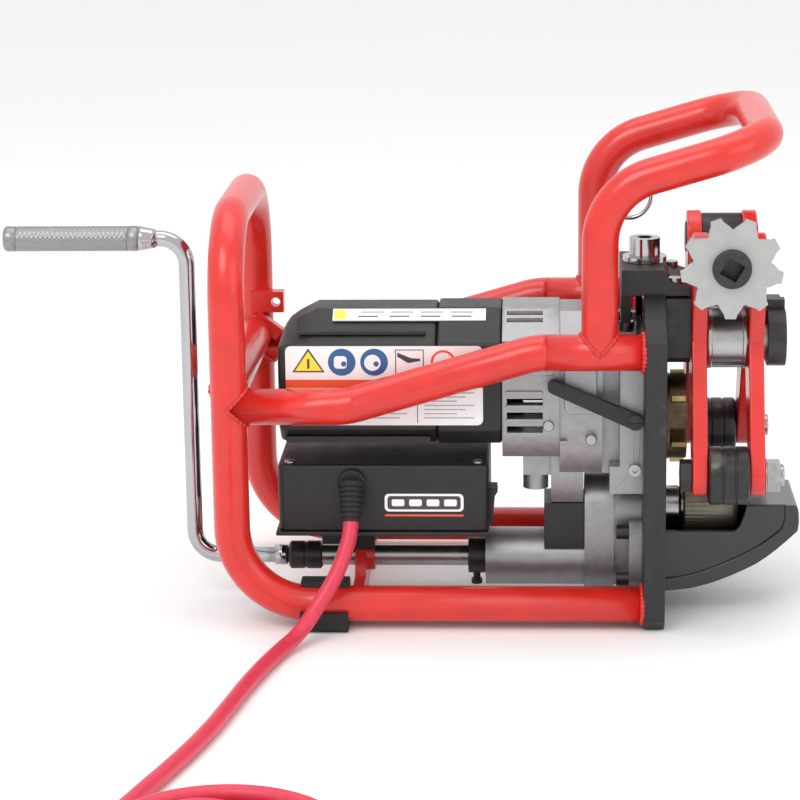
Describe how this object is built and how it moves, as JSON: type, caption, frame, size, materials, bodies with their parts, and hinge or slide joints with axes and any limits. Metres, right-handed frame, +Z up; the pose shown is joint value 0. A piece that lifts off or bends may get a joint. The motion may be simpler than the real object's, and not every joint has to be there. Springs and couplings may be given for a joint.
{
  "type": "portable pipe bevelling machine",
  "caption": "Portable pipe bevelling machine: motor driven milling head behind a thick front plate, tube frame with carry handle, hand crank feed, roller arms drawn by a star wheel, cord.",
  "frame": {"origin": "middle of the front plate's bottom edge, on the floor", "axes": "+X from the crank end towards the pipe, along the cutter spindle; +Z up; +Y away from the control box's cord side"},
  "size_m": [0.5653, 0.724, 0.3585],
  "materials": {
    "frame_red": "gloss",
    "black_paint": "satin",
    "black_plastic": "matte",
    "gloss_black": "gloss",
    "cast_alloy": "satin",
    "steel": "satin",
    "dark_steel": "satin",
    "chrome": "polished",
    "star_zinc": "satin",
    "bronze": "satin",
    "copper": "satin",
    "carbide": "satin",
    "rubber": "matte",
    "cord_red": "matte"
  },
  "bodies": {
    "frame": {"main_frame": "frame_red", "rail_near": "frame_red", "rail_far": "frame_red", "carry_handle": "frame_red", "hang_ring": "chrome", "foot_clips": "rubber", "shaft_support": "frame_red", "hoop_brace": "frame_red", "front_plate": "black_paint", "slide_gibs": "cast_alloy", "slide_screws": "chrome", "top_bracket": "black_paint", "feed_case": "cast_alloy", "feed_case_bolts": "dark_steel", "feed_bushes": "bronze", "depth_stop": "black_paint", "pivot_block": "black_paint", "pivot_pins": "steel", "pivot_tie": "dark_steel", "front_guard": "gloss_black", "control_box": "black_plastic", "box_base": "black_plastic", "box_mount": "rubber", "cord_gland": "rubber", "power_cord": "cord_red", "cord_coil": "cord_red", "plug": "black_plastic"},
    "power_switch": {"power_switch": "black_plastic"},
    "motor_unit": {"motor_housing": "black_plastic", "motor_front": "black_plastic", "vent_housing": "cast_alloy", "gearcase": "cast_alloy", "motor_screws": "steel", "stator": "copper", "bearings": "steel"},
    "armature": {"armature": "copper", "fan": "black_plastic"},
    "cutter": {"spindle": "steel", "cutter_head": "carbide", "cutter_inserts": "carbide"},
    "depth_screw": {"depth_screw": "chrome"},
    "lock_lever": {"lock_lever": "black_paint", "lock_screw": "dark_steel"},
    "crank": {"crank_arm": "chrome", "coupling": "dark_steel", "feed_shaft": "dark_steel", "shaft_collar": "black_paint"},
    "crank_grip": {"crank_grip": "steel"},
    "drive": {"drive_spindle": "steel", "drive_roller": "steel"},
    "near_arm": {"near_arm": "frame_red", "near_roller_bolt": "dark_steel"},
    "near_roller": {"near_roller": "dark_steel"},
    "near_trunnion": {"near_trunnion": "dark_steel"},
    "clamp": {"clamp_screw": "dark_steel", "star_wheel": "star_zinc"},
    "far_arm": {"far_arm": "frame_red", "far_roller_bolt": "dark_steel"},
    "far_roller": {"far_roller": "dark_steel"},
    "far_trunnion": {"far_trunnion": "dark_steel"}
  },
  "joints": [
    {"name": "crank_turn", "type": "hinge", "parent": "frame", "child": "crank", "pos_m": [-0.2, -0.035, 0.033], "axis": [1, 0, 0], "continuous": true},
    {"name": "grip_spin", "type": "hinge", "parent": "crank", "child": "crank_grip", "pos_m": [-0.41, -0.035, 0.268], "axis": [1, 0, 0], "continuous": true},
    {"name": "drive_turn", "type": "hinge", "parent": "frame", "child": "drive", "pos_m": [0, -0.035, 0.071], "axis": [1, 0, 0], "continuous": true},
    {"name": "near_arm_swing", "type": "hinge", "parent": "frame", "child": "near_arm", "pos_m": [0.05, -0.06, 0.201], "axis": [1, 0, 0], "range_deg": [-3.6, 5.9]},
    {"name": "near_trunnion_turn", "type": "hinge", "parent": "near_arm", "child": "near_trunnion", "pos_m": [0.0505, -0.08, 0.26], "axis": [1, 0, 0], "range_deg": [-5.9, 3.6]},
    {"name": "clamp_turn", "type": "hinge", "parent": "near_trunnion", "child": "clamp", "pos_m": [0.0505, -0.08, 0.26], "axis": [0, 1, 0], "range_deg": [-540, 900]},
    {"name": "near_roller_spin", "type": "hinge", "parent": "near_arm", "child": "near_roller", "pos_m": [0.05, -0.106, 0.113], "axis": [1, 0, 0], "continuous": true},
    {"name": "far_arm_swing", "type": "hinge", "parent": "frame", "child": "far_arm", "pos_m": [0.05, -0.01, 0.201], "axis": [1, 0, 0], "range_deg": [-5.9, 3.6]},
    {"name": "far_trunnion_turn", "type": "hinge", "parent": "far_arm", "child": "far_trunnion", "pos_m": [0.0505, 0.01, 0.26], "axis": [1, 0, 0], "range_deg": [-3.6, 5.9]},
    {"name": "far_roller_spin", "type": "hinge", "parent": "far_arm", "child": "far_roller", "pos_m": [0.05, 0.036, 0.113], "axis": [1, 0, 0], "continuous": true},
    {"name": "depth_turn", "type": "hinge", "parent": "frame", "child": "depth_screw", "pos_m": [-0.006, -0.035, 0.26], "axis": [0, 0, 1], "range_deg": [0, 1441]},
    {"name": "depth_slide", "type": "slide", "parent": "frame", "child": "motor_unit", "axis": [0, 0, 1], "range_m": [0, 0.008]},
    {"name": "cutter_turn", "type": "hinge", "parent": "motor_unit", "child": "cutter", "pos_m": [0, -0.035, 0.138], "axis": [1, 0, 0], "continuous": true},
    {"name": "armature_turn", "type": "hinge", "parent": "motor_unit", "child": "armature", "pos_m": [-0.1, -0.035, 0.17], "axis": [1, 0, 0], "continuous": true},
    {"name": "lever_turn", "type": "hinge", "parent": "frame", "child": "lock_lever", "pos_m": [-0.0134, -0.085, 0.1468], "axis": [0, 1, 0], "range_deg": [-50, 5]},
    {"name": "switch_rock", "type": "hinge", "parent": "frame", "child": "power_switch", "pos_m": [-0.117, -0.06, 0.09], "axis": [0, 1, 0], "range_deg": [-4, 4]}
  ],
  "couplings": [
    {"joint": "drive_turn", "follows": "crank_turn", "ratio": -1},
    {"joint": "near_arm_swing", "follows": "clamp_turn", "ratio": 0.0065},
    {"joint": "near_trunnion_turn", "follows": "clamp_turn", "ratio": -0.0065},
    {"joint": "far_arm_swing", "follows": "clamp_turn", "ratio": -0.0065},
    {"joint": "far_trunnion_turn", "follows": "clamp_turn", "ratio": 0.0065},
    {"joint": "depth_turn", "follows": "depth_slide", "rad_per_m": 3141.6},
    {"joint": "armature_turn", "follows": "cutter_turn", "ratio": -4}
  ]
}
